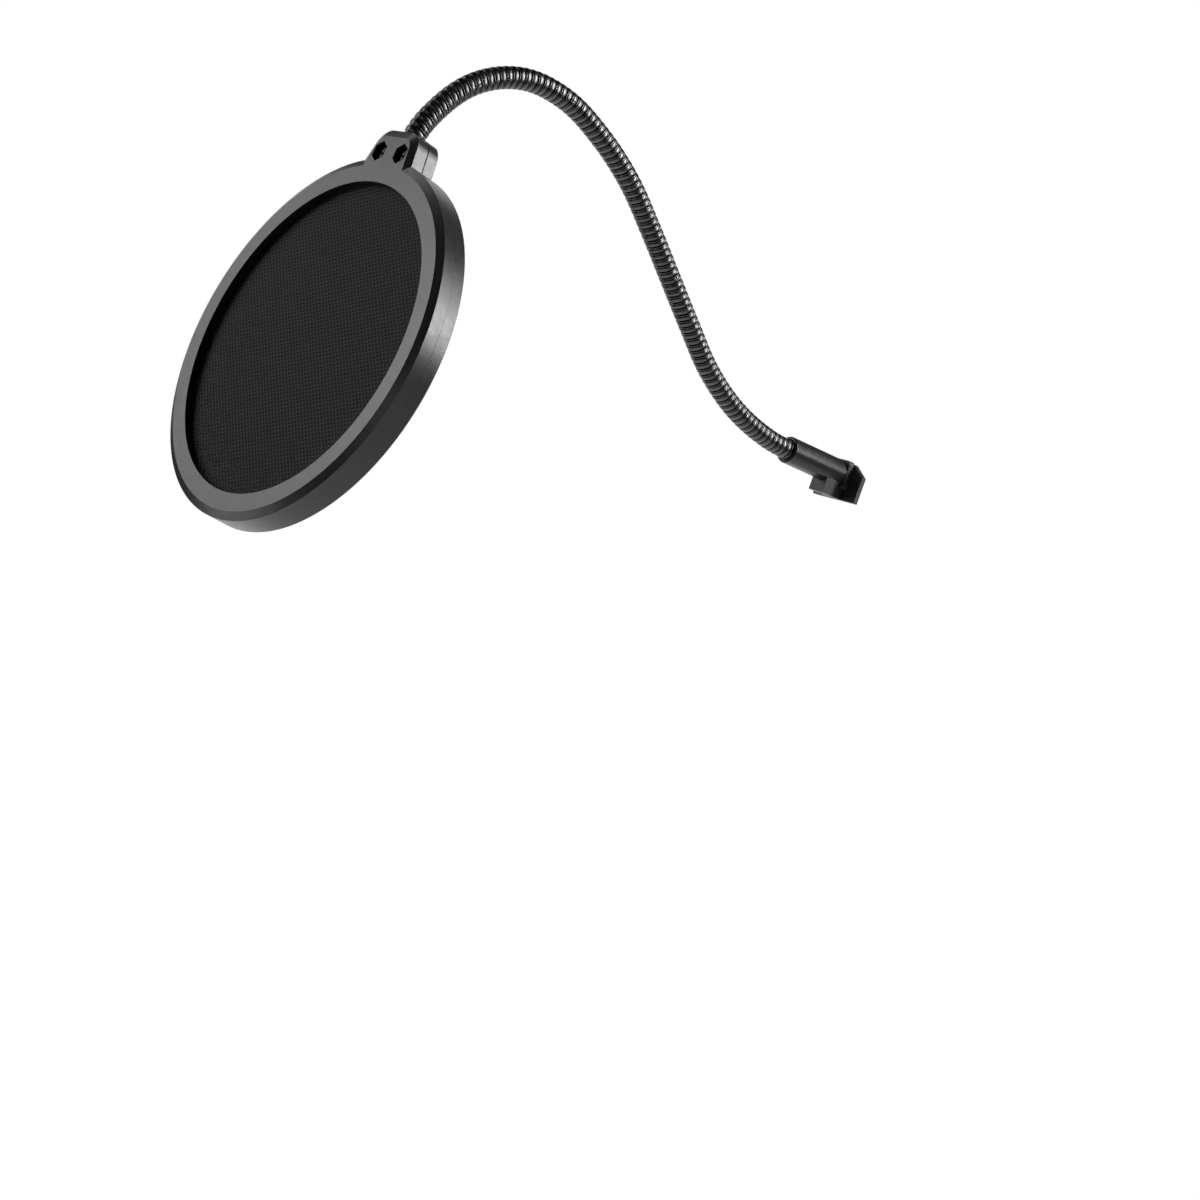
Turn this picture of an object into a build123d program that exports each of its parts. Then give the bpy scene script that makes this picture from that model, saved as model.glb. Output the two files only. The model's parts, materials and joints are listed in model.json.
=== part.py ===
from build123d import *
import os
from math import cos, radians, sin

# Frame: the origin is the middle of the bracket's seat, +Z leaves the seat,
# +X runs along the sleeve towards the screen and Y is across.

# Bracket and sleeve
axis_height = 10.0
plate_front = -4.0
plate_thick = 2.3
plate_width = 24.0
plate_shoulder = 10.8
plate_top = 15.1
plate_top_width = 10.6
boss_length = 2.6
boss_width = 11.2
boss_rise = 5.7
boss_corner = 1.6
plate_round = 0.3
saddle_gap = 0.05
spigot_radius = 4.15
spigot_length = 8.4
rib_front = 6.3
rib_width = 8.0
seat_hole_gap = 6.4
seat_hole_radius = 1.25
seat_hole_depth = 3.8
sleeve_radius = 5.4
sleeve_bore = 4.2
sleeve_mouth = 28.3
lip_round = 0.85
lip_break = 0.25

# Gooseneck: runs from the sleeve to the tab, each a length and the turn it makes in degrees
neck_start = 28.0
hoop_tilt = 7.07
first_runs = [(64.3, 37.8), (58.9, 0.0), (54.0, -25.3)]
last_length = 76.8
last_turn = -(90 - hoop_tilt) - sum(turn for length, turn in first_runs)
runs = first_runs + [(last_length, last_turn)]
neck_length = sum(length for length, turn in runs)
neck_radius = 4.0
wrap_bore = 2.62
core_radius = 2.55
core_bore = 1.6
band_pitch = 2.6
bands_per_link = 8
link_length = band_pitch * bands_per_link
pivot_count = 12
first_pivot = 12.4
ball_radius = 5.0
socket_radius = 5.05
ball_spare = 0.6
groove_depth = 0.36
groove_half_width = 0.42
buried_in_sleeve = 14.0
buried_in_tab = 7.0
plug_flange = 1.2
plug_flange_radius = 3.9
plug_shank_radius = 1.55
plug_shank_length = 5.0

# Hoops
hoop_radius = 67.5
hoop_bore = 58.2
hoop_depth = 11.0
split_depth = 6.1
bevel_width = 2.85
bevel_depth = 1.3
back_break = 0.5
seam_break = 0.2
lip_depth = 2.7
rebate_radius = 63.6
mesh_radius = 63.4
mesh_thick = 0.4
spacer_bore = 59.2
neck_reach = 75.2

# Tab and its fasteners
tab_top = 78.1
tab_foot = 61.8
tab_foot_width = 30.8
tab_side_angle = 76.0
tab_corner = 7.3
pocket_across = 6.6
pocket_depth = 3.4
screw_offset = 6.4
screw_reach = 69.5
screw_radius = 1.5
screw_length = 7.2
screw_clearance = 1.6
head_radius = 2.6
head_height = 1.5
recess_length = 3.0
recess_width = 0.8
recess_depth = 0.9
nut_across = 5.4
nut_pocket_across = 5.6
nut_height = 2.4
nut_pocket_depth = 2.6
nut_bore = 1.53
channel_radius = 4.15
channel_floor = 66.8


def neck_plane(distance):
    """Plane across the gooseneck at a distance along it from the sleeve's mouth."""
    x = neck_start
    z = axis_height
    heading = 0.0
    left = distance
    for length, turn in runs:
        step = max(min(left, length), 0.0)
        if turn == 0:
            x += step * cos(radians(heading))
            z += step * sin(radians(heading))
        else:
            radius = length / radians(turn)
            bent = turn * step / length
            x += radius * (sin(radians(heading + bent)) - sin(radians(heading)))
            z -= radius * (cos(radians(heading + bent)) - cos(radians(heading)))
            heading += bent
        left -= step
        if left <= 0:
            break
    x += left * cos(radians(heading))
    z += left * sin(radians(heading))
    along = (cos(radians(heading)), 0, sin(radians(heading)))
    return Plane(origin=(x, 0, z), x_dir=(0, 1, 0), z_dir=along)


def neck_stations():
    """Distances along the gooseneck where one run meets the next, and whether the next is straight."""
    stations = [(0.0, runs[0][1] == 0)]
    for index, (length, turn) in enumerate(runs):
        next_straight = index + 1 == len(runs) or runs[index + 1][1] == 0
        stations.append((stations[-1][0] + length, next_straight))
    return stations


def neck_rod(start, end, radius):
    """A smooth round rod that follows the gooseneck between two distances."""
    joins = [station for station in neck_stations() if start + 0.01 < station[0] < end - 0.01]
    before = [straight for distance, straight in neck_stations() if distance <= start + 0.01]
    low = start
    is_straight = before[-1] if before else True
    with BuildPart() as rod:
        with BuildLine():
            for high, next_straight in joins + [(end, True)]:
                if is_straight:
                    Line(neck_plane(low).origin, neck_plane(high).origin)
                else:
                    middle = neck_plane((low + high) / 2)
                    ThreePointArc(neck_plane(low).origin, middle.origin, neck_plane(high).origin)
                low = high
                is_straight = next_straight
        with BuildSketch(neck_plane(start)):
            Circle(radius)
        sweep()
    return rod.part


def groove_distances(start, end):
    """Where the grooves between the wound bands lie, one of them on each ball's rim."""
    rim = (socket_radius**2 - neck_radius**2) ** 0.5
    first = int((start - first_pivot - rim) / band_pitch) - 1
    last = int((end - first_pivot - rim) / band_pitch) + 1
    places = [first_pivot + rim + index * band_pitch for index in range(first, last + 1)]
    return [place for place in places if start + band_pitch / 2 < place < end - band_pitch / 2]


def banded_rod(start, end):
    """A round rod with a shallow groove between one wound band and the next."""
    sections = [(start, neck_radius)]
    for place in groove_distances(start, end):
        sections.append((place - groove_half_width, neck_radius))
        sections.append((place, neck_radius - groove_depth))
        sections.append((place + groove_half_width, neck_radius))
    sections.append((end, neck_radius))
    with BuildPart() as rod:
        for place, radius in sections:
            with BuildSketch(neck_plane(place)):
                Circle(radius)
        loft(ruled=True)
    return rod.part


def neck_link(blank, bore, start, end, hollow_start, round_end):
    """Bore a rod out and shape its ends as a socket and a ball about the pivots."""
    with BuildPart() as link:
        add(blank)
        add(bore, mode=Mode.SUBTRACT)
        if hollow_start:
            with Locations(neck_plane(start).location):
                Sphere(radius=socket_radius, mode=Mode.SUBTRACT)
        if round_end:
            with Locations(neck_plane(end).location):
                add(ball_cutter.part, mode=Mode.SUBTRACT)
    return link.part


exit_plane = neck_plane(neck_length)
into_tab = exit_plane.z_dir
hoop_front = exit_plane.y_dir
hoop_centre = exit_plane.origin + into_tab * neck_reach + hoop_front * split_depth
# The hoop's plane lies on its front face: local y points at the tab, local z to the front.
hoop_plane = Plane(origin=hoop_centre, x_dir=(0, 1, 0), z_dir=hoop_front)
hoop_axis = Axis(origin=hoop_centre, direction=hoop_front)
split_plane = hoop_plane.offset(-split_depth)
back_plane = hoop_plane.offset(-hoop_depth)
# Across the tab at the floor of the neck's channel, looking out of the tab.
channel_plane = Plane(
    origin=split_plane.from_local_coords((0, channel_floor, 0)), x_dir=(0, 1, 0), z_dir=split_plane.y_dir
)

with BuildSketch() as tab_shape:
    with Locations((0, tab_foot)):
        Trapezoid(tab_foot_width, tab_top - tab_foot, tab_side_angle, align=(Align.CENTER, Align.MIN))
    fillet(tab_shape.vertices().sort_by(Axis.Y)[-2:], tab_corner)


def tab_edges(face):
    """Edges of a face's outline that belong to the tab and not to the ring."""
    edges = face.outer_wire().edges()
    return edges.filter_by(lambda edge: hoop_plane.to_local_coords(edge.center()).Y > hoop_radius)


# Front half of the hoop: flat face, bevelled outside, screw pockets in the tab.
with BuildPart() as front_hoop:
    with BuildSketch(hoop_plane):
        Circle(hoop_radius)
        add(tab_shape.sketch)
    extrude(amount=-split_depth)
    face = front_hoop.faces().sort_by(hoop_axis)[-1]
    chamfer(face.outer_wire().edges(), bevel_width, bevel_depth, reference=face)
    chamfer(tab_edges(front_hoop.faces().sort_by(hoop_axis)[0]), seam_break)
    with BuildSketch(hoop_plane):
        Circle(hoop_bore)
    extrude(amount=-split_depth, mode=Mode.SUBTRACT)
    with BuildSketch(hoop_plane.offset(-lip_depth)):
        Circle(rebate_radius)
    extrude(amount=-split_depth, mode=Mode.SUBTRACT)
    with BuildSketch(hoop_plane):
        with Locations((-screw_offset, screw_reach), (screw_offset, screw_reach)):
            RegularPolygon(pocket_across / 2, 6, major_radius=False, rotation=30)
    extrude(amount=-pocket_depth, mode=Mode.SUBTRACT)
    with BuildSketch(hoop_plane):
        with Locations((-screw_offset, screw_reach), (screw_offset, screw_reach)):
            Circle(screw_clearance)
    extrude(amount=-split_depth, mode=Mode.SUBTRACT)
    with BuildSketch(channel_plane):
        Circle(channel_radius)
    extrude(amount=tab_top, mode=Mode.SUBTRACT)
front_hoop.part.label = "front_hoop"

# Back half of the hoop: broken back edge, nut pockets in the tab.
with BuildPart() as back_hoop:
    with BuildSketch(split_plane):
        Circle(hoop_radius)
        add(tab_shape.sketch)
    extrude(amount=-(hoop_depth - split_depth))
    back_edges = back_hoop.faces().sort_by(hoop_axis)[0].outer_wire().edges()
    chamfer(back_edges, back_break)
    chamfer(tab_edges(back_hoop.faces().sort_by(hoop_axis)[-1]), seam_break)
    with BuildSketch(back_plane):
        Circle(hoop_bore)
    extrude(amount=hoop_depth, mode=Mode.SUBTRACT)
    with BuildSketch(back_plane.offset(lip_depth)):
        Circle(rebate_radius)
    extrude(amount=hoop_depth, mode=Mode.SUBTRACT)
    with BuildSketch(back_plane):
        with Locations((-screw_offset, screw_reach), (screw_offset, screw_reach)):
            RegularPolygon(nut_pocket_across / 2, 6, major_radius=False, rotation=30)
    extrude(amount=nut_pocket_depth, mode=Mode.SUBTRACT)
    with BuildSketch(back_plane):
        with Locations((-screw_offset, screw_reach), (screw_offset, screw_reach)):
            Circle(screw_clearance)
    extrude(amount=hoop_depth, mode=Mode.SUBTRACT)
    with BuildSketch(channel_plane):
        Circle(channel_radius)
    extrude(amount=tab_top, mode=Mode.SUBTRACT)
back_hoop.part.label = "back_hoop"

# The two nylon screens and the ring that holds them apart.
with BuildPart() as front_mesh:
    with BuildSketch(hoop_plane.offset(-lip_depth)):
        Circle(mesh_radius)
    extrude(amount=-mesh_thick)
front_mesh.part.label = "front_mesh"

with BuildPart() as back_mesh:
    with BuildSketch(back_plane.offset(lip_depth)):
        Circle(mesh_radius)
    extrude(amount=mesh_thick)
back_mesh.part.label = "back_mesh"

with BuildPart() as mesh_spacer:
    with BuildSketch(hoop_plane.offset(-lip_depth - mesh_thick)):
        Circle(mesh_radius)
        Circle(spacer_bore, mode=Mode.SUBTRACT)
    extrude(amount=-(hoop_depth - 2 * lip_depth - 2 * mesh_thick))
mesh_spacer.part.label = "mesh_spacer"

# Screws and nuts that clamp the tab round the gooseneck.
with BuildPart() as tab_screws:
    with BuildSketch(hoop_plane.offset(-pocket_depth)):
        with Locations((-screw_offset, screw_reach), (screw_offset, screw_reach)):
            Circle(head_radius)
    extrude(amount=head_height)
    head_faces = tab_screws.faces().sort_by(hoop_axis)[-2:]
    fillet(head_faces.edges(), head_height / 3)
    with BuildSketch(hoop_plane.offset(-pocket_depth)):
        with Locations((-screw_offset, screw_reach), (screw_offset, screw_reach)):
            Circle(screw_radius)
    extrude(amount=-screw_length)
    with BuildSketch(hoop_plane.offset(head_height - pocket_depth)):
        with Locations((-screw_offset, screw_reach), (screw_offset, screw_reach)):
            Rectangle(recess_length, recess_width)
            Rectangle(recess_width, recess_length)
    extrude(amount=-recess_depth, mode=Mode.SUBTRACT)
tab_screws.part.label = "tab_screws"

with BuildPart() as tab_nuts:
    with BuildSketch(back_plane.offset(nut_pocket_depth)):
        with Locations((-screw_offset, screw_reach), (screw_offset, screw_reach)):
            RegularPolygon(nut_across / 2, 6, major_radius=False, rotation=30)
            Circle(nut_bore, mode=Mode.SUBTRACT)
    extrude(amount=-nut_height)
tab_nuts.part.label = "tab_nuts"

# Bracket: end plate, boss with a spigot for the sleeve, and the rib whose foot is the seat.
with BuildPart() as mount_bracket:
    with BuildSketch(Plane.YZ.offset(plate_front)):
        with BuildLine():
            Polyline(
                (-plate_width / 2, 0),
                (plate_width / 2, 0),
                (plate_width / 2, plate_shoulder),
                (plate_top_width / 2, plate_top),
                (-plate_top_width / 2, plate_top),
                (-plate_width / 2, plate_shoulder),
                close=True,
            )
        make_face()
    extrude(amount=-plate_thick)
    plate_edges = mount_bracket.faces().filter_by(Axis.X).edges()
    plate_rims = plate_edges.filter_by_position(Axis.Z, 0.1, plate_top + 1)
    fillet(plate_rims, plate_round)
    with BuildSketch(Plane.YZ.offset(plate_front)):
        with Locations((0, axis_height)):
            RectangleRounded(boss_width, 2 * boss_rise, boss_corner)
    extrude(amount=boss_length)
    with BuildSketch(Plane.XY):
        with Locations((plate_front, 0)):
            Rectangle(rib_front - plate_front, rib_width, align=(Align.MIN, Align.CENTER))
    extrude(amount=axis_height)
    with BuildSketch(Plane.YZ.offset(plate_front + boss_length)):
        with Locations((0, axis_height)):
            Circle(sleeve_radius + saddle_gap)
    extrude(amount=rib_front - plate_front, mode=Mode.SUBTRACT)
    with BuildSketch(Plane.YZ.offset(plate_front + boss_length)):
        with Locations((0, axis_height)):
            Circle(spigot_radius)
    extrude(amount=spigot_length)
    with BuildSketch(Plane.XY):
        with Locations((-seat_hole_gap / 2, 0), (seat_hole_gap / 2, 0)):
            Circle(seat_hole_radius)
    extrude(amount=seat_hole_depth, mode=Mode.SUBTRACT)
mount_bracket.part.label = "mount_bracket"

# Sleeve that grips the lower end of the gooseneck, with a rounded mouth.
with BuildPart() as sleeve:
    with BuildSketch(Plane.YZ.offset(plate_front + boss_length)):
        with Locations((0, axis_height)):
            Circle(sleeve_radius)
            Circle(sleeve_bore, mode=Mode.SUBTRACT)
    extrude(amount=sleeve_mouth - plate_front - boss_length)
    fillet(sleeve.faces().sort_by(Axis.X)[-1].outer_wire().edges(), lip_round)
    fillet(sleeve.faces().sort_by(Axis.X)[-1].inner_wires()[0].edges(), lip_break)
sleeve.part.label = "sleeve"

# End plugs of the gooseneck, one clamped in the tab and one inside the sleeve.
with BuildPart() as top_plug:
    with BuildSketch(neck_plane(neck_length + buried_in_tab)):
        Circle(plug_flange_radius)
    extrude(amount=plug_flange)
    with BuildSketch(neck_plane(neck_length + buried_in_tab)):
        Circle(plug_shank_radius)
    extrude(amount=-plug_shank_length)
top_plug.part.label = "top_plug"

with BuildPart() as base_plug:
    with BuildSketch(neck_plane(-buried_in_sleeve)):
        Circle(plug_flange_radius)
    extrude(amount=-plug_flange)
    with BuildSketch(neck_plane(-buried_in_sleeve)):
        Circle(plug_shank_radius)
    extrude(amount=plug_shank_length)
base_plug.part.label = "base_plug"

os.makedirs("parts", exist_ok=True)
export_step(front_hoop.part, "parts/front_hoop.step")
export_step(back_hoop.part, "parts/back_hoop.step")
export_step(front_mesh.part, "parts/front_mesh.step")
export_step(back_mesh.part, "parts/back_mesh.step")
export_step(mesh_spacer.part, "parts/mesh_spacer.step")
export_step(tab_screws.part, "parts/tab_screws.step")
export_step(tab_nuts.part, "parts/tab_nuts.step")
export_step(mount_bracket.part, "parts/mount_bracket.step")
export_step(sleeve.part, "parts/sleeve.step")
export_step(top_plug.part, "parts/top_plug.step")
export_step(base_plug.part, "parts/base_plug.step")

# What lies beyond a link's ball end, about its pivot.
with BuildPart() as ball_cutter:
    Cylinder(radius=1.5 * neck_radius, height=2 * ball_radius, align=(Align.CENTER, Align.CENTER, Align.MIN))
    Sphere(radius=ball_radius, mode=Mode.SUBTRACT)

# The gooseneck: banded outer wrap and inner spring, parted at every pivot.
for link in range(pivot_count + 1):
    is_first = link == 0
    is_last = link == pivot_count
    start = -buried_in_sleeve if is_first else first_pivot + (link - 1) * link_length
    end = neck_length + buried_in_tab if is_last else first_pivot + link * link_length
    far = end if is_last else end + ball_radius + ball_spare
    wrap_bore_rod = neck_rod(start, far, wrap_bore)
    wrap = neck_link(banded_rod(start, far), wrap_bore_rod, start, end, not is_first, not is_last)
    wrap.label = f"neck_wrap_{link + 1:02d}"
    export_step(wrap, f"parts/{wrap.label}.step")
    core_rod = neck_rod(start, far, core_radius)
    core = neck_link(core_rod, neck_rod(start, far, core_bore), start, end, not is_first, not is_last)
    core.label = f"neck_core_{link + 1:02d}"
    export_step(core, f"parts/{core.label}.step")
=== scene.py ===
import json
import math

import bpy
import numpy as np
from mathutils import Matrix, Vector

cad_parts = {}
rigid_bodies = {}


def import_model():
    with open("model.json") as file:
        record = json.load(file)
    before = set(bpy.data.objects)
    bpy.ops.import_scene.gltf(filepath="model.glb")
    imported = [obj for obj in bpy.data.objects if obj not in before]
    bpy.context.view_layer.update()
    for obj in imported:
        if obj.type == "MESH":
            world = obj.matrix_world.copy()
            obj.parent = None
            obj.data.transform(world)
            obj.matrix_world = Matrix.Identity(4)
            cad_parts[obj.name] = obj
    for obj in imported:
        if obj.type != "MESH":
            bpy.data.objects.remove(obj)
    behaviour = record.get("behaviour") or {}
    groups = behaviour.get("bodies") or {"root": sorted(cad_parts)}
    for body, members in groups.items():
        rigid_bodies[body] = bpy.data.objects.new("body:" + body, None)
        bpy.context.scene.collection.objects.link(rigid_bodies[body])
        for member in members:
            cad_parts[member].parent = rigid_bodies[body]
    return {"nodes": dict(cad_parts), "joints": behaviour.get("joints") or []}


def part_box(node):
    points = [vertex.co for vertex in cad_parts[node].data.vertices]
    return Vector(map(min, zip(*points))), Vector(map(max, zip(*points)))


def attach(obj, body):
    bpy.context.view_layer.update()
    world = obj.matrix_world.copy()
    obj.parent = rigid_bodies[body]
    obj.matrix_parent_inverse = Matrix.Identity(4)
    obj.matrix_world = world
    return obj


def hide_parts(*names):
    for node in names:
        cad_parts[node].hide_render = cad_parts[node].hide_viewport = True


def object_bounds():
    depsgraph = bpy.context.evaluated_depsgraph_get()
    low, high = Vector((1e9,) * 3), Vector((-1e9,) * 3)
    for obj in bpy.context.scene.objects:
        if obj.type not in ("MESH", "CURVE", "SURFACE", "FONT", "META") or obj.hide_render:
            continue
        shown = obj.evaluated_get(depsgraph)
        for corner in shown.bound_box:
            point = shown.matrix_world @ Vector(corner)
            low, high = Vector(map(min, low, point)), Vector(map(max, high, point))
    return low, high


# Looks of a pop filter: a clamped hoop with two nylon screens on a flexible gooseneck.
# Everything is in metres in the part's own frame: +Z leaves the seat, +X runs along the sleeve.

MM = 0.001

# Gooseneck: a flat strip wound over a spring of round wire
BAND_PITCH = 2.66 * MM
BAND_RADIUS = 4.0 * MM
BAND_SHOULDER = 3.66 * MM
BAND_BORE = 3.05 * MM
BAND_HALF_WIDTH = 1.12 * MM
BAND_CROWN_POWER = 2.6
BAND_HAND = -1
BAND_CROWN_POINTS = 9
BAND_RIDGE_WIDTH = 0.45 * MM
BAND_RIDGE_DROP = 0.10 * MM
BAND_BACK_TAPER = 0.96
BAND_STEPS_PER_TURN = 48
WIRE_COIL_RADIUS = 2.25 * MM
WIRE_RADIUS = 0.62 * MM
WIRE_POINTS = 10
WIRE_STEPS_PER_TURN = 28
PATH_STEP = 0.25 * MM
MOUTH_INSET = 0.3 * MM
PLUG_OVERRUN = 4 * MM
LAST_TURN_REACH = 0.36
HIDDEN_LOWER_END = 5 * MM
HIDDEN_UPPER_END = 6 * MM

# Nylon screens
WARP_PITCH = 1.45 * MM
WEFT_PITCH = 0.88 * MM
THREAD_COVER = 0.96
THREAD_THICK = 0.13 * MM
WEAVE_RISE = 0.08 * MM
THREAD_SIDES = 6
THREAD_END_MARGIN = 0.3
CLOTH_RADIUS = 63.2 * MM
FRONT_WEAVE_ANGLE = -14.6
BACK_WEAVE_ANGLE = -9.0

# Moulded parts: edge rounding, width and brightness of the lighter edges (partly wear, partly painted
# highlight), grain per metre
MOULD_ROUND = 0.18 * MM
EDGE_WEAR_AND_HIGHLIGHT_WIDTH = 0.35 * MM
EDGE_WEAR_AND_HIGHLIGHT_LIFT = 0.25
MOULD_GRAIN = 5200.0

# Camera: where it stands, and its own right and up directions
CAMERA_PLACE = (0.72135, 0.75612, -0.08750)
CAMERA_RIGHT = (-0.71782, 0.60594, 0.34287)
CAMERA_UP = (0.27355, -0.20741, 0.93923)
LENS = 78.93
SENSOR = 36.0

# Stage
LIGHT_DISTANCE = 1.5
FLOOR_DROP = 0.30
FLOOR_SIZE = 12.0
BACKDROP_LEVEL = 0.12
SWEEP_LEVEL = 0.28


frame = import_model()
cad_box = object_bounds()
scene = bpy.context.scene


# ---------------------------------------------------------------- materials


def new_material(name):
    """An empty node material with its principled shader, ready to be wired."""
    material = bpy.data.materials.new(name)
    material.use_nodes = True
    tree = material.node_tree
    shader = tree.nodes["Principled BSDF"]
    return material, tree, shader


def add_node(tree, kind, settings=None, **inputs):
    """Adds a shader node; inputs are values or sockets, settings are its own properties."""
    node = tree.nodes.new(kind)
    for key, value in (settings or {}).items():
        setattr(node, key, value)
    for key, value in inputs.items():
        socket = node.inputs[key.replace("_", " ")]
        if isinstance(value, bpy.types.NodeSocket):
            tree.links.new(value, socket)
        else:
            socket.default_value = value
    return node


def noise(tree, scale, detail=2.0, roughness=0.5, stretch=(1, 1, 1)):
    """Noise in the part's own frame, features per metre, as a 0-1 socket."""
    place = add_node(tree, "ShaderNodeTexCoord").outputs["Object"]
    mapping = add_node(tree, "ShaderNodeMapping", Vector=place, Scale=stretch)
    texture = add_node(
        tree,
        "ShaderNodeTexNoise",
        Vector=mapping.outputs["Vector"],
        Scale=scale,
        Detail=detail,
        Roughness=roughness,
    )
    return texture.outputs["Fac"]


def remap(tree, value, low_in, high_in, low_out, high_out):
    """Straight-line remap of a socket, held inside the output range."""
    node = add_node(
        tree,
        "ShaderNodeMapRange",
        {"clamp": True},
        Value=value,
        From_Min=low_in,
        From_Max=high_in,
        To_Min=low_out,
        To_Max=high_out,
    )
    return node.outputs["Result"]


def maths(tree, operation, first, second):
    """One arithmetic step on two sockets or numbers."""
    node = add_node(tree, "ShaderNodeMath", {"operation": operation})
    for index, value in enumerate((first, second)):
        if isinstance(value, bpy.types.NodeSocket):
            tree.links.new(value, node.inputs[index])
        else:
            node.inputs[index].default_value = value
    return node.outputs["Value"]


def grey(tree, value):
    """Turns a number socket into a neutral colour socket."""
    return add_node(tree, "ShaderNodeCombineColor", Red=value, Green=value, Blue=value).outputs["Color"]


def rounded_normal(tree, radius):
    """Surface normal with every edge rounded over by a radius."""
    return add_node(tree, "ShaderNodeBevel", {"samples": 4}, Radius=radius).outputs["Normal"]


def add_relief(tree, shader, height, depth, **inputs):
    """Gives a shader fine relief of a depth in metres, on its own normal or on the one given."""
    bump = add_node(tree, "ShaderNodeBump", Height=height, Distance=depth, Strength=1.0, **inputs)
    tree.links.new(bump.outputs["Normal"], shader.inputs["Normal"])


def edge_mask(tree, radius):
    """Near 1 on convex and concave edges within the radius, 0 on open faces."""
    plain = add_node(tree, "ShaderNodeNewGeometry").outputs["Normal"]
    product = add_node(tree, "ShaderNodeVectorMath", {"operation": "DOT_PRODUCT"})
    tree.links.new(rounded_normal(tree, radius), product.inputs[0])
    tree.links.new(plain, product.inputs[1])
    return remap(tree, product.outputs["Value"], 0.98, 0.80, 0.0, 1.0)


def moulded_plastic(name, tone, roughness, grain_depth=0.010 * MM):
    """Satin black moulded plastic: spark-eroded grain, slow sheen changes, and edges painted lighter,
    partly as rubbed wear and partly as a painted highlight.
    """
    material, tree, shader = new_material(name)
    slow = noise(tree, 55.0, detail=3.0)
    cloud = noise(tree, 400.0, detail=4.0, roughness=0.6)
    grain = noise(tree, MOULD_GRAIN, detail=2.0, roughness=0.65)
    # Edges painted lighter: partly rubbed wear, partly a painted highlight along the rounded edges.
    wear_and_highlight_edges = edge_mask(tree, EDGE_WEAR_AND_HIGHLIGHT_WIDTH)
    wear_and_highlight = maths(tree, "MULTIPLY", wear_and_highlight_edges, remap(tree, cloud, 0.35, 0.65, 0.3, 1.0))
    base = remap(tree, slow, 0.3, 0.7, tone * 0.92, tone * 1.08)
    base = maths(tree, "ADD", base, maths(tree, "MULTIPLY", wear_and_highlight, EDGE_WEAR_AND_HIGHLIGHT_LIFT * tone))
    base = maths(tree, "MULTIPLY", base, remap(tree, grain, 0.3, 0.7, 0.90, 1.10))
    tree.links.new(grey(tree, base), shader.inputs["Base Color"])
    rough = remap(tree, cloud, 0.3, 0.7, roughness - 0.03, roughness + 0.03)
    rough = maths(tree, "SUBTRACT", rough, maths(tree, "MULTIPLY", wear_and_highlight, 0.06))
    tree.links.new(rough, shader.inputs["Roughness"])
    soft = rounded_normal(tree, MOULD_ROUND)
    add_relief(tree, shader, grain, grain_depth, Normal=soft)
    shader.inputs["IOR"].default_value = 1.5
    return material


def black_nickel(name, tone, roughness, line_depth=0.003 * MM):
    """Dark plated steel: polished, with drawing lines, smudges and pits from handling."""
    material, tree, shader = new_material(name)
    smudge = noise(tree, 260.0, detail=4.0, roughness=0.6)
    lines = noise(tree, 2600.0, detail=2.0, roughness=0.6, stretch=(1.0, 0.25, 1.0))
    pits = noise(tree, 9000.0, detail=1.0)
    base = remap(tree, smudge, 0.3, 0.7, tone * 0.80, tone * 1.15)
    tree.links.new(grey(tree, base), shader.inputs["Base Color"])
    rough = remap(tree, smudge, 0.3, 0.7, roughness * 0.85, roughness * 1.2)
    rough = maths(tree, "ADD", rough, remap(tree, pits, 0.55, 0.75, 0.0, 0.12))
    tree.links.new(rough, shader.inputs["Roughness"])
    height = maths(tree, "ADD", lines, maths(tree, "MULTIPLY", pits, 0.4))
    add_relief(tree, shader, height, line_depth)
    shader.inputs["Metallic"].default_value = 1.0
    return material


def nylon(name, tone, gloss):
    """Black nylon yarn: dull fibres with a soft sheen that varies from thread to thread."""
    material, tree, shader = new_material(name)
    fibre = noise(tree, 7000.0, detail=2.0)
    patch = noise(tree, 90.0, detail=3.0)
    base = maths(
        tree,
        "MULTIPLY",
        remap(tree, fibre, 0.3, 0.7, tone * 0.7, tone * 1.3),
        remap(tree, patch, 0.3, 0.7, 0.9, 1.1),
    )
    tree.links.new(grey(tree, base), shader.inputs["Base Color"])
    tree.links.new(remap(tree, fibre, 0.3, 0.7, 0.45, 0.65), shader.inputs["Roughness"])
    shader.inputs["Specular IOR Level"].default_value = gloss
    shader.inputs["Sheen Weight"].default_value = 0.05
    shader.inputs["Sheen Roughness"].default_value = 0.4
    return material


def assign(piece, *finishes):
    """Gives a piece its material, or its materials in slot order."""
    piece.data.materials.clear()
    for material in finishes:
        piece.data.materials.append(material)


# ---------------------------------------------------------------- gooseneck


def ring_plane(node):
    """Centre and axis of a round flat node, from the spread of its points."""
    points = np.array([v.co for v in frame["nodes"][node].data.vertices], float)
    centre = (points.max(axis=0) + points.min(axis=0)) / 2
    spread = np.linalg.svd(points - points.mean(axis=0), full_matrices=False)[2]
    axis = spread[2]
    return Vector(centre), Vector(axis if axis[0] > 0 else -axis)


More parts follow.
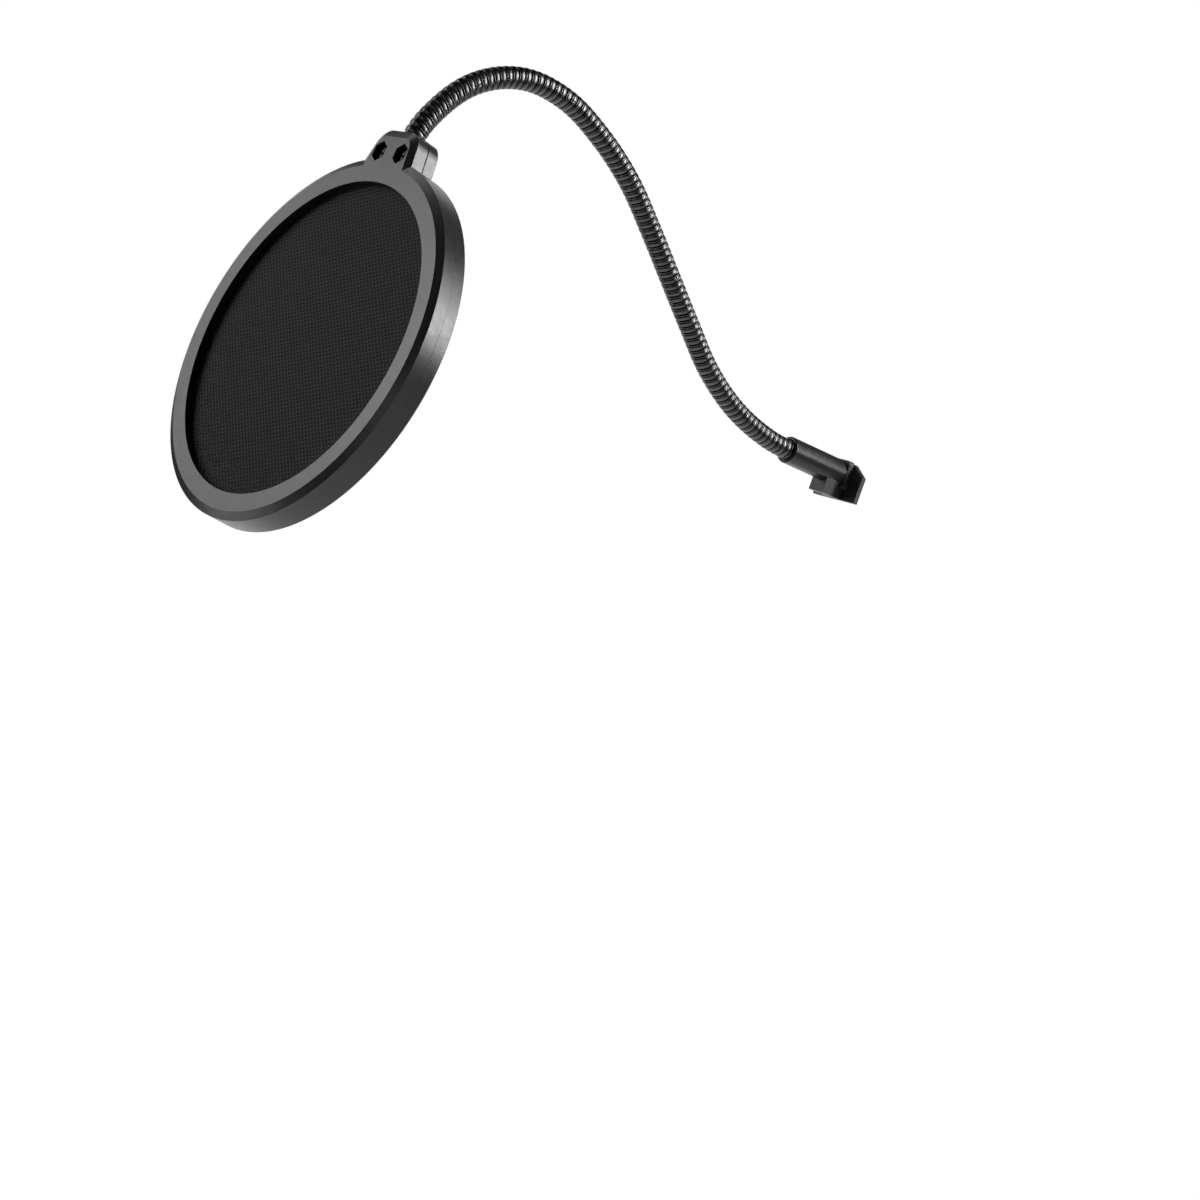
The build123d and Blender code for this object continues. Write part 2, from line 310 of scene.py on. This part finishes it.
class NeckPath:
    """Centreline of the gooseneck, through the joints; distances start at the sleeve's mouth."""

    def __init__(self):
        pivots = [Vector(joint["pos_m"]) for joint in frame["joints"]]
        sleeve_low, sleeve_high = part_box("sleeve")
        base_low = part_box("base_plug")[0]
        top_low, top_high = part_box("top_plug")
        axis_z = (sleeve_low.z + sleeve_high.z) / 2
        mouth = Vector((sleeve_high.x - MOUTH_INSET, 0, axis_z))
        ring_axis = ring_plane("mesh_spacer")[1]
        into_tab = Vector((ring_axis.z, 0, -ring_axis.x))
        last = pivots[-1]
        plug = (top_low + top_high) / 2
        # The last run ends on the straight line that enters the tab.
        reach = (plug - last).length
        turn_end = plug - into_tab * (reach * LAST_TURN_REACH)
        first = Vector((base_low.x, 0, axis_z))
        knots = [first, mouth] + pivots + [turn_end, plug + into_tab * PLUG_OVERRUN]
        points = []
        for index in range(len(knots) - 1):
            a, b = knots[index], knots[index + 1]
            chord = (b - a).length
            ta = self.tangent(knots, index, into_tab) * chord
            tb = self.tangent(knots, index + 1, into_tab) * chord
            count = max(int(chord / PATH_STEP), 2)
            for step in range(count):
                t = step / count
                points.append(
                    a * (2 * t**3 - 3 * t**2 + 1)
                    + ta * (t**3 - 2 * t**2 + t)
                    + b * (3 * t**2 - 2 * t**3)
                    + tb * (t**3 - t**2)
                )
        points.append(knots[-1])
        self.points = np.array(points)
        steps = np.linalg.norm(np.diff(self.points, axis=0), axis=1)
        length = np.concatenate([[0.0], np.cumsum(steps)])
        at_mouth = np.argmin(np.linalg.norm(self.points - np.array(mouth), axis=1))
        self.length = length - length[at_mouth]
        self.pivot_places = [self.nearest(pivot) for pivot in pivots]

    @staticmethod
    def tangent(knots, index, into_tab):
        """Direction of travel at a knot: straight at both ends, else midway between its chords."""
        if index <= 1:
            return Vector((1, 0, 0))
        if index >= len(knots) - 2:
            return into_tab.copy()
        back = (knots[index] - knots[index - 1]).normalized()
        ahead = (knots[index + 1] - knots[index]).normalized()
        return (back + ahead).normalized()

    def nearest(self, point):
        """Distance along the neck of the place closest to a point."""
        return self.length[np.argmin(np.linalg.norm(self.points - np.array(point), axis=1))]

    def place(self, distance):
        """Points of the centreline at an array of distances."""
        columns = [np.interp(distance, self.length, self.points[:, i]) for i in range(3)]
        return np.stack(columns, axis=-1)

    def at(self, distance):
        """Points and normals at an array of distances."""
        place = self.place(distance)
        tangent = self.place(distance + PATH_STEP) - self.place(distance - PATH_STEP)
        tangent /= np.linalg.norm(tangent, axis=-1, keepdims=True)
        normal = np.stack([-tangent[..., 2], np.zeros_like(distance), tangent[..., 0]], axis=-1)
        return place, normal


def mesh_object(name, points, faces):
    """A smooth-shaded mesh object from an array of points and a list of faces."""
    mesh = bpy.data.meshes.new(name)
    mesh.from_pydata([tuple(p) for p in points], [], faces)
    mesh.validate()
    mesh.update()
    mesh.polygons.foreach_set("use_smooth", [True] * len(mesh.polygons))
    piece = bpy.data.objects.new(name, mesh)
    scene.collection.objects.link(piece)
    return piece


def coil(name, path, start, end, outline, steps_per_turn):
    """A closed strip wound round the neck's centreline, from one distance to another.

    outline is a closed loop of (offset along the neck, radius) pairs.
    """
    first_turn = start / BAND_PITCH
    last_turn = end / BAND_PITCH
    count = max(int(round((last_turn - first_turn) * steps_per_turn)), 1)
    turns = np.linspace(first_turn, last_turn, count + 1)
    outline = np.array(outline)
    distance = turns[:, None] * BAND_PITCH + outline[None, :, 0]
    radius = np.broadcast_to(outline[None, :, 1], distance.shape)
    angle = np.broadcast_to(BAND_HAND * 2 * math.pi * turns[:, None], distance.shape)
    place, normal = path.at(distance)
    lateral = np.zeros_like(place)
    lateral[..., 1] = 1.0
    points = place + radius[..., None] * (
        np.cos(angle)[..., None] * lateral + np.sin(angle)[..., None] * normal
    )
    size = len(outline)
    faces = []
    for ring in range(count):
        for corner in range(size):
            following = (corner + 1) % size
            a, b = ring * size + corner, ring * size + following
            faces.append((a, b, b + size, a + size)[::BAND_HAND])
    faces.append(tuple(range(size))[::-BAND_HAND])
    faces.append(tuple(count * size + corner for corner in range(size))[::BAND_HAND])
    return mesh_object(name, points.reshape(-1, 3), faces)


def band_outline():
    """Section of the wound strip: a broad crown, a lower ridge beside it and a flat back."""
    split = BAND_HALF_WIDTH - BAND_RIDGE_WIDTH
    outline = []
    for low, high, top in (
        (-BAND_HALF_WIDTH, split, BAND_RADIUS),
        (split, BAND_HALF_WIDTH, BAND_RADIUS - BAND_RIDGE_DROP),
    ):
        for index in range(BAND_CROWN_POINTS):
            across = -math.cos(math.pi * index / (BAND_CROWN_POINTS - 1))
            height = (1 - abs(across) ** BAND_CROWN_POWER) ** (1 / BAND_CROWN_POWER)
            offset = (low + high) / 2 + across * (high - low) / 2
            outline.append((offset, BAND_SHOULDER + (top - BAND_SHOULDER) * height))
        # The next crown starts where this one ends.
        outline.pop()
    outline.append((BAND_HALF_WIDTH, BAND_SHOULDER))
    outline.append((BAND_HALF_WIDTH * BAND_BACK_TAPER, BAND_BORE))
    outline.append((-BAND_HALF_WIDTH * BAND_BACK_TAPER, BAND_BORE))
    # Same sense of travel as the wire's section, so both coils face outwards.
    return outline[::-1]


def wire_outline():
    """Round section of the inner spring's wire, set half a pitch off the bands."""
    return [
        (
            BAND_PITCH / 2 + WIRE_RADIUS * math.cos(2 * math.pi * index / WIRE_POINTS),
            WIRE_COIL_RADIUS + WIRE_RADIUS * math.sin(2 * math.pi * index / WIRE_POINTS),
        )
        for index in range(WIRE_POINTS)
    ]


def cut_on_axis(distance, axis):
    """Nearest place where the strip crosses the joint's own axis, so a bend parts it least there."""
    half_turns = 2 * distance / BAND_PITCH
    if abs(axis[1]) > 0.5:
        return round(half_turns) * BAND_PITCH / 2
    return (round(half_turns - 0.5) + 0.5) * BAND_PITCH / 2


def build_gooseneck(band_material, wire_material):
    """Wound band and inner spring, one length to each body, parted at the joints."""
    path = NeckPath()
    joints = frame["joints"]
    cuts = [cut_on_axis(place, joint["axis"]) for place, joint in zip(path.pivot_places, joints)]
    starts = [path.nearest(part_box("base_plug")[1]) - HIDDEN_LOWER_END] + cuts
    ends = cuts + [path.length[-1] - HIDDEN_UPPER_END]
    bodies = [joints[0]["parent"]] + [joint["child"] for joint in joints]
    for number, (low, high, body) in enumerate(zip(starts, ends, bodies), start=1):
        for prefix, outline, steps, material in (
            ("wrap", band_outline(), BAND_STEPS_PER_TURN, band_material),
            ("core", wire_outline(), WIRE_STEPS_PER_TURN, wire_material),
        ):
            piece = coil(f"{prefix}_coil_{number:02d}", path, low, high, outline, steps)
            assign(piece, material)
            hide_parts(f"neck_{prefix}_{number:02d}")
            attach(piece, body)


# ---------------------------------------------------------------- screens


def thread_section(pitch):
    """Flattened section of a thread as (across, through) pairs, just narrower than its pitch."""
    half = THREAD_COVER * pitch / 2
    turns = [2 * math.pi * index / THREAD_SIDES for index in range(THREAD_SIDES)]
    return np.array([(half * math.cos(turn), THREAD_THICK / 2 * math.sin(turn)) for turn in turns])


def woven_disc(name, centre, axis, radius, angle):
    """A disc of plain weave: two sets of flattened threads, each passing over and under the other."""
    up = Vector((-axis.z, 0, axis.x)).normalized()
    side = up.cross(axis)
    turn = math.radians(angle)
    across_warp = np.array(side * math.cos(turn) + up * math.sin(turn))
    across_weft = np.array(up * math.cos(turn) - side * math.sin(turn))
    out = np.array(axis)
    origin = np.array(centre)
    points, faces, yarns = [], [], []
    total = 0
    sets = (
        (across_weft, across_warp, WARP_PITCH, WEFT_PITCH, 1),
        (across_warp, across_weft, WEFT_PITCH, WARP_PITCH, -1),
    )
    for run, step, pitch, crossing_pitch, sign in sets:
        section = thread_section(pitch)
        sideways = section[:, 0:1] * step + section[:, 1:2] * out
        reach = int(radius / pitch)
        for thread in range(-reach, reach + 1):
            offset = thread * pitch
            half = math.sqrt(max(radius**2 - offset**2, 0.0))
            crossings = int(half / crossing_pitch - THREAD_END_MARGIN)
            if crossings < 1:
                continue
            index = np.arange(-crossings, crossings + 1)
            distance = np.concatenate([[-half], index * crossing_pitch, [half]])
            height = np.where((index + thread) % 2 == 0, 1.0, -1.0) * sign * WEAVE_RISE
            height = np.concatenate([[0.0], height, [0.0]])
            middle = origin + offset * step + distance[:, None] * run + height[:, None] * out
            points.append((middle[:, None, :] + sideways[None, :, :]).reshape(-1, 3))
            count = len(distance)
            ring = total + THREAD_SIDES * np.arange(count - 1)
            for corner in range(THREAD_SIDES):
                following = (corner + 1) % THREAD_SIDES
                far = ring + THREAD_SIDES
                quad = [ring + corner, far + corner, far + following, ring + following]
                faces.extend(np.stack(quad[::sign], axis=1).tolist())
            start_cap = [total + corner for corner in range(THREAD_SIDES)]
            end_cap = [total + THREAD_SIDES * (count - 1) + corner for corner in range(THREAD_SIDES)]
            faces.append(start_cap[::sign])
            faces.append(end_cap[::-sign])
            yarns.extend([(1 - sign) // 2] * (len(faces) - len(yarns)))
            total += THREAD_SIDES * count
    piece = mesh_object(name, np.concatenate(points), faces)
    piece.data.polygons.foreach_set("material_index", yarns)
    return piece


def build_screens(shaded_warp_yarn, lit_weft_yarn):
    """The front and back nylon screens, each in the gap between a hoop's lip and the spacer."""
    for node, angle in (("front_mesh", FRONT_WEAVE_ANGLE), ("back_mesh", BACK_WEAVE_ANGLE)):
        centre, axis = ring_plane(node)
        piece = woven_disc(f"{node}_weave", centre, axis, CLOTH_RADIUS, angle)
        # The warp takes the darker painted-shade tone, the weft the lighter painted-highlight tone.
        assign(piece, shaded_warp_yarn, lit_weft_yarn)
        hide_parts(node)
        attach(piece, "screen")


# ---------------------------------------------------------------- carried-over parts


def finish_cad_nodes(materials):
    """Gives every visible CAD node its finish."""
    plan = {
        "front_hoop": "hoop",
        "back_hoop": "hoop",
        "mesh_spacer": "spacer",
        "mount_bracket": "bracket",
        "sleeve": "sleeve",
        "tab_screws": "fastener",
        "tab_nuts": "fastener",
        "top_plug": "plug",
        "base_plug": "plug",
    }
    for node, finish in plan.items():
        assign(frame["nodes"][node], materials[finish])


# ---------------------------------------------------------------- stage


def camera_axes():
    """The camera's right, up and back directions as vectors."""
    right = Vector(CAMERA_RIGHT).normalized()
    up = Vector(CAMERA_UP).normalized()
    return right, up, right.cross(up)


def from_camera(direction):
    """Unit vector of a direction given in camera axes: right, up, back."""
    right, up, back = camera_axes()
    return (right * direction[0] + up * direction[1] + back * direction[2]).normalized()


def place_camera():
    """Camera in front of the hoop and to its +Y side, nearly level with it."""
    right, up, back = camera_axes()
    data = bpy.data.cameras.new("camera")
    data.lens = LENS
    data.sensor_width = SENSOR
    data.clip_start = 0.05
    data.clip_end = 50.0
    camera = bpy.data.objects.new("camera", data)
    turn = Matrix((right, up, back)).transposed()
    camera.matrix_world = Matrix.Translation(CAMERA_PLACE) @ turn.to_4x4()
    scene.collection.objects.link(camera)
    scene.camera = camera


def soft_box(name, target, direction, distance, width, height, power):
    """Rectangular area light aimed at a target, from a direction given in camera axes."""
    away = from_camera(direction)
    data = bpy.data.lights.new(name, "AREA")
    data.shape = "RECTANGLE"
    data.size = width
    data.size_y = height
    data.energy = power
    light = bpy.data.objects.new(name, data)
    across = camera_axes()[1].cross(away).normalized()
    lift = away.cross(across)
    turn = Matrix((across, lift, away)).transposed()
    light.matrix_world = Matrix.Translation(target + away * distance) @ turn.to_4x4()
    light.visible_camera = False
    scene.collection.objects.link(light)


def light_stage():
    """Soft studio light: boxes on the left, a strip and boxes on the right, cards by the hoop."""
    middle = (cad_box[0] + cad_box[1]) / 2
    hoop = ring_plane("mesh_spacer")[0]
    soft_box("key_left", middle, (-0.86, 0.43, -0.27), LIGHT_DISTANCE, 0.55, 0.55, 2.0)
    soft_box("low_left", hoop, (-0.97, 0.05, -0.18), LIGHT_DISTANCE, 0.70, 0.35, 1.9)
    soft_box("high_left", middle, (-0.82, 0.57, -0.05), LIGHT_DISTANCE, 0.45, 0.45, 2.3)
    soft_box("front_left", middle, (-0.66, 0.21, 0.72), LIGHT_DISTANCE, 0.55, 0.55, 1.5)
    soft_box("strip_right", hoop, (0.977, 0.165, 0.135), LIGHT_DISTANCE, 0.16, 0.90, 16.0)
    soft_box("high_right", middle, (0.85, 0.52, 0.11), LIGHT_DISTANCE, 0.50, 0.50, 5.5)
    soft_box("rim_right", middle, (0.80, 0.05, -0.60), LIGHT_DISTANCE, 0.50, 0.50, 4.0)
    soft_box("rim_top", hoop, (-0.50, 0.80, -0.35), LIGHT_DISTANCE, 0.50, 0.50, 1.5)
    soft_box("card_below", hoop, (0.25, -0.95, -0.05), 0.35, 0.70, 0.70, 0.8)
    soft_box("card_behind", hoop, (0.0, -0.10, -1.0), 0.45, 0.50, 0.80, 1.0)


def white_lobe(tree, place, direction, edge, full, level):
    """White light from all directions near one, given in camera axes, fading out at its edge."""
    middle = from_camera(direction)
    nearness = add_node(tree, "ShaderNodeVectorMath", {"operation": "DOT_PRODUCT"})
    tree.links.new(place, nearness.inputs[0])
    nearness.inputs[1].default_value = middle
    return remap(tree, nearness.outputs["Value"], edge, full, 0.0, level)


def build_world():
    """White where the camera looks, a white backdrop and sweep behind the object, dark elsewhere."""
    world = bpy.data.worlds.new("studio")
    world.use_nodes = True
    scene.world = world
    tree = world.node_tree
    tree.nodes.clear()
    place = add_node(tree, "ShaderNodeTexCoord").outputs["Generated"]
    backdrop = white_lobe(tree, place, (0.05, -0.10, -1.0), 0.60, 0.85, BACKDROP_LEVEL)
    sweep = white_lobe(tree, place, (-0.10, -0.85, -0.50), 0.45, 0.75, SWEEP_LEVEL)
    is_camera = add_node(tree, "ShaderNodeLightPath").outputs["Is Camera Ray"]
    strength = maths(tree, "MAXIMUM", is_camera, maths(tree, "MAXIMUM", backdrop, sweep))
    light = add_node(tree, "ShaderNodeBackground", Color=(1, 1, 1, 1), Strength=strength)
    output = add_node(tree, "ShaderNodeOutputWorld")
    tree.links.new(light.outputs[0], output.inputs["Surface"])


def build_floor():
    """A plain white paper floor that glows evenly, so it reads as white."""
    mesh = bpy.data.meshes.new("floor")
    half = FLOOR_SIZE / 2
    low = cad_box[0].z - FLOOR_DROP
    corners = [(-half, -half, low), (half, -half, low), (half, half, low), (-half, half, low)]
    mesh.from_pydata(corners, [], [(0, 1, 2, 3)])
    floor = bpy.data.objects.new("floor", mesh)
    scene.collection.objects.link(floor)
    material, tree, shader = new_material("floor_paper")
    fibre = noise(tree, 900.0, detail=2.0)
    tree.links.new(grey(tree, remap(tree, fibre, 0.3, 0.7, 0.010, 0.014)), shader.inputs["Base Color"])
    shader.inputs["Roughness"].default_value = 1.0
    shader.inputs["Specular IOR Level"].default_value = 0.0
    shader.inputs["Emission Color"].default_value = (1, 1, 1, 1)
    shader.inputs["Emission Strength"].default_value = 1.0
    assign(floor, material)
    # Only the camera sees it: the sweep lights the object in its place.
    floor.visible_diffuse = False
    floor.visible_glossy = False
    floor.visible_shadow = False


materials = {
    "hoop": moulded_plastic("satin_black_hoop", 0.030, 0.30, grain_depth=0.005 * MM),
    "spacer": moulded_plastic("black_spacer", 0.03, 0.5),
    "bracket": moulded_plastic("satin_black_bracket", 0.045, 0.45),
    "sleeve": moulded_plastic("satin_black_sleeve", 0.02, 0.32, grain_depth=0.001 * MM),
    "fastener": black_nickel("black_zinc_fasteners", 0.10, 0.30),
    "plug": black_nickel("zinc_plugs", 0.35, 0.35),
    "band": black_nickel("black_nickel_band", 0.14, 0.33, line_depth=0.0002 * MM),
    "wire": black_nickel("spring_wire", 0.12, 0.35),
    # One black nylon in two tones: the warp painted darker as painted shade, the weft painted lighter
    # as painted highlight, to bring out the weave.
    "warp": nylon("black_nylon_warp_painted_shade", 0.002, 0.20),
    "weft": nylon("black_nylon_weft_painted_highlight", 0.022, 0.60),
}

build_gooseneck(materials["band"], materials["wire"])
build_screens(materials["warp"], materials["weft"])
finish_cad_nodes(materials)
place_camera()
light_stage()
build_world()
build_floor()
scene.view_settings.view_transform = "Standard"
